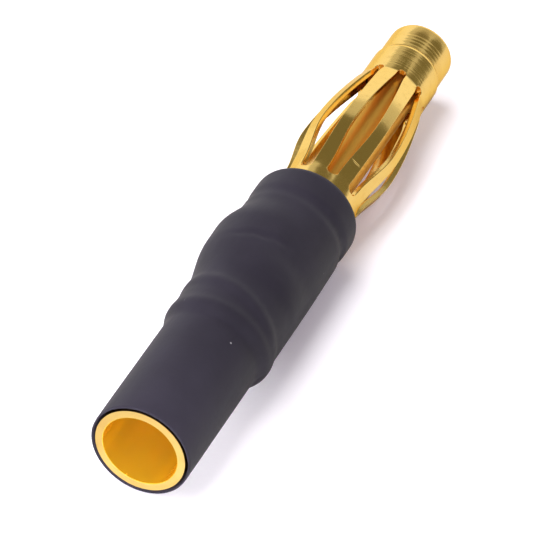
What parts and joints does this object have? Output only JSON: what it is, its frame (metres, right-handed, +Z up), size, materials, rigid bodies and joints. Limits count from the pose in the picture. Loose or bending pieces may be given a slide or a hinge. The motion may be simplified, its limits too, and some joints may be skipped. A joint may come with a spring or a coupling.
{
  "type": "bullet connector adapter",
  "caption": "Gold-plated battery lead adapter: a round socket and a plug with a bowed spring cage, joined back to back under black heat-shrink tube.",
  "frame": {"origin": "centre of the socket's mouth, on the axis", "axes": "+X along the axis from the socket's mouth to the plug's tip, +Z up from the surface that the part lies on"},
  "size_m": [0.032, 0.0056, 0.0053],
  "materials": {
    "plated_brass": "turned and gold-plated, bright",
    "plated_spring": "stamped spring sheet, gold-plated, bright",
    "copper_wire": "bare copper, hidden in the joint",
    "solder": "smooth solder, hidden in the joint",
    "heat_shrink": "soft satin black"
  },
  "bodies": {
    "root": {"socket": "plated_brass", "plug_core": "plated_brass", "spring_cage": "plated_spring", "link_wire": "copper_wire", "socket_solder": "solder", "plug_solder": "solder", "sleeve": "heat_shrink"}
  },
  "joints": []
}
